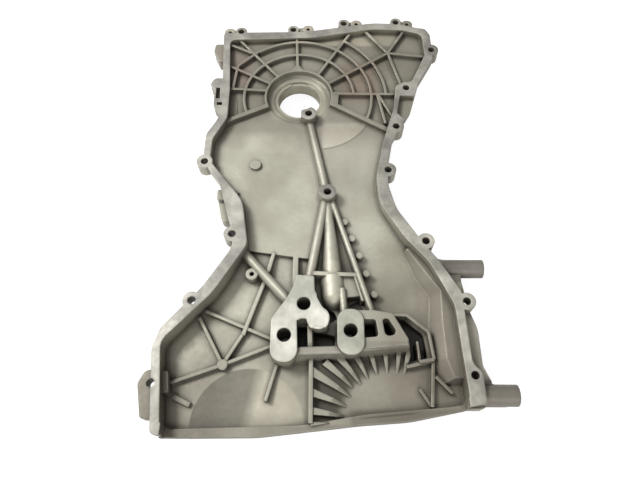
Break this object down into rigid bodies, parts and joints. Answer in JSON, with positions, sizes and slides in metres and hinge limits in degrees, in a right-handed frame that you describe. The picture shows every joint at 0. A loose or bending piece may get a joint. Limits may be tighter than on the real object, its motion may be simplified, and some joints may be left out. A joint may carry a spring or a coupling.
{
  "type": "engine timing cover",
  "caption": "Cast aluminium engine timing cover seen from its open side, with a ribbed web round the crank bore and machined mounting bosses.",
  "frame": {"origin": "on the crank bore axis, at the outer end of the seal collar", "axes": "+Z along the crank bore axis and out of the gasket face, +Y towards the crank end of the cover"},
  "size_m": [0.3137, 0.4609, 0.034],
  "materials": {
    "timing_cover": "as cast"
  },
  "bodies": {
    "root": {"timing_cover": "timing_cover"}
  },
  "joints": []
}
